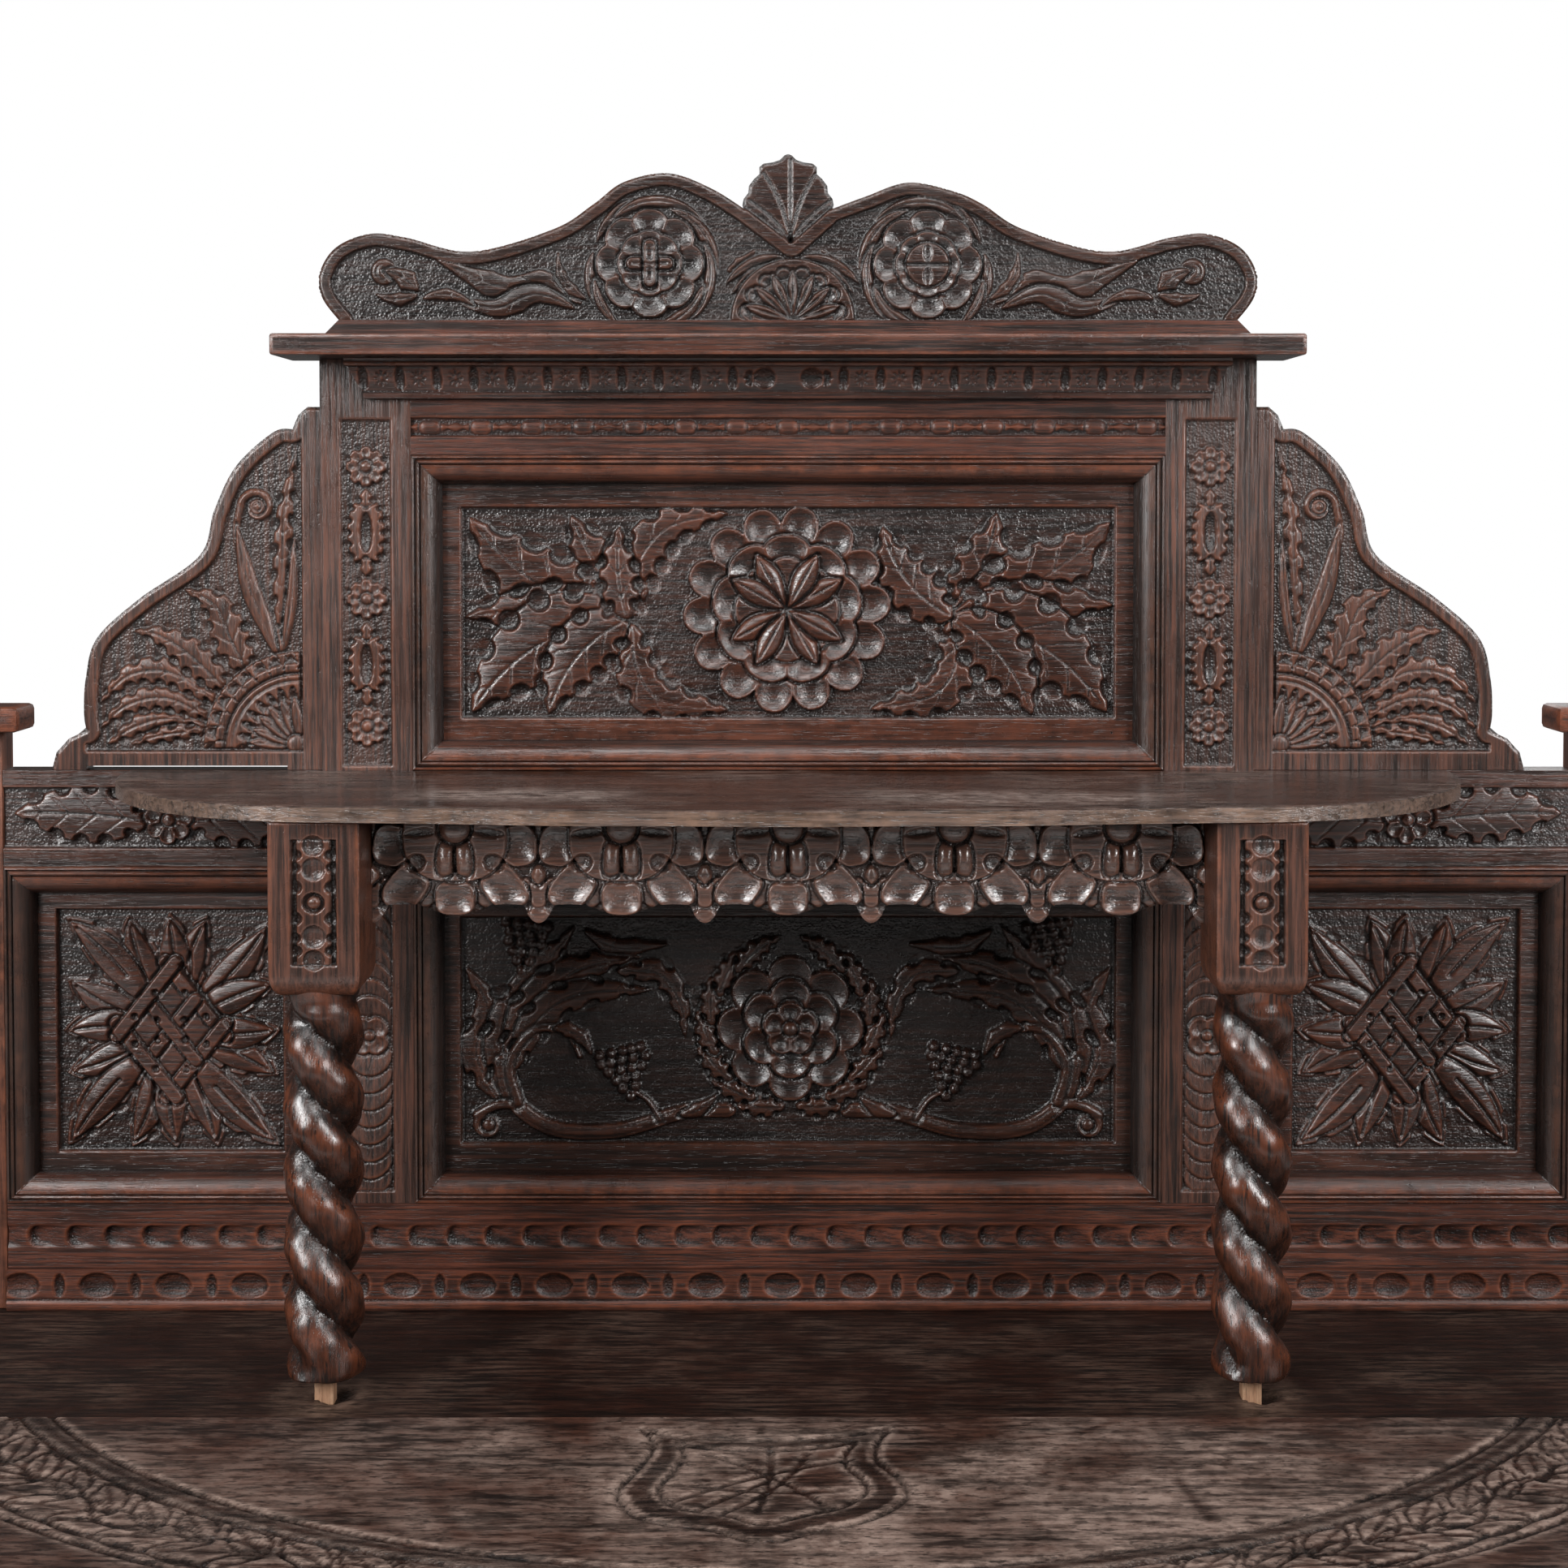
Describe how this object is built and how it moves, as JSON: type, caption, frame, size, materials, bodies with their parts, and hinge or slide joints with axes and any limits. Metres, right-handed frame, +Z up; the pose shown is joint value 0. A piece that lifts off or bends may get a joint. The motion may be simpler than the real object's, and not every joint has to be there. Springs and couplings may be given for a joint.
{
  "type": "carved oak serving table",
  "caption": "Tall serving table with a carved panelled backboard, a shelf on barley-twist columns, frieze drawers and a platform base.",
  "frame": {"origin": "on the floor under the middle of the table top", "axes": "+X to the right along the front, +Y towards the wall, +Z up; -Y is the front"},
  "size_m": [1.58, 0.61, 1.8979],
  "materials": {
    "dark_oak": "waxed, satin",
    "carved_oak": "waxed, worn on the edges",
    "worn_table_oak": "worn, dull wax",
    "drawer_lining_oak": "bare",
    "pale_peg_wood": "bare"
  },
  "bodies": {
    "table": {"back_apron": "dark_oak", "back_leg_left": "dark_oak", "back_leg_right": "dark_oak", "bottom_rail": "carved_oak", "centre_moulding": "dark_oak", "centre_panel": "carved_oak", "centre_rail": "carved_oak", "column_dowel_left": "pale_peg_wood", "column_dowel_right": "pale_peg_wood", "column_left": "carved_oak", "column_right": "carved_oak", "cornice_moulding": "carved_oak", "cornice_shelf": "carved_oak", "crest_board": "carved_oak", "crest_rail": "carved_oak", "drawer_divider": "dark_oak", "drawer_runner_centre": "drawer_lining_oak", "drawer_runner_left": "drawer_lining_oak", "drawer_runner_right": "drawer_lining_oak", "end_cap_left": "dark_oak", "end_cap_right": "dark_oak", "end_stile_left": "carved_oak", "end_stile_right": "carved_oak", "foot_back_left": "dark_oak", "foot_back_right": "dark_oak", "foot_front_left": "dark_oak", "foot_front_right": "dark_oak", "frieze_low_rail": "dark_oak", "frieze_top_rail": "dark_oak", "front_leg_left": "dark_oak", "front_leg_right": "dark_oak", "inner_stile_left": "carved_oak", "inner_stile_right": "carved_oak", "left_moulding": "dark_oak", "left_panel": "carved_oak", "platform": "dark_oak", "plinth_moulding": "carved_oak", "right_moulding": "dark_oak", "right_panel": "carved_oak", "shelf": "dark_oak", "shelf_apron": "carved_oak", "side_apron_left": "dark_oak", "side_apron_right": "dark_oak", "side_rail_left": "carved_oak", "side_rail_right": "carved_oak", "top_back_board": "worn_table_oak", "top_front_board": "worn_table_oak", "upper_moulding": "dark_oak", "upper_panel": "carved_oak", "upper_rail": "carved_oak", "wing_left": "carved_oak", "wing_right": "carved_oak"},
    "drawer_left": {"drawer_left_front": "carved_oak", "drawer_left_box": "drawer_lining_oak", "drawer_left_bottom": "drawer_lining_oak", "drawer_left_knob": "carved_oak"},
    "drawer_right": {"drawer_right_front": "carved_oak", "drawer_right_box": "drawer_lining_oak", "drawer_right_bottom": "drawer_lining_oak", "drawer_right_knob": "carved_oak"}
  },
  "joints": [
    {"name": "drawer_left_slide", "type": "slide", "parent": "table", "child": "drawer_left", "axis": [0, -1, 0], "range_m": [0, 0.32]},
    {"name": "drawer_right_slide", "type": "slide", "parent": "table", "child": "drawer_right", "axis": [0, -1, 0], "range_m": [0, 0.32]}
  ]
}
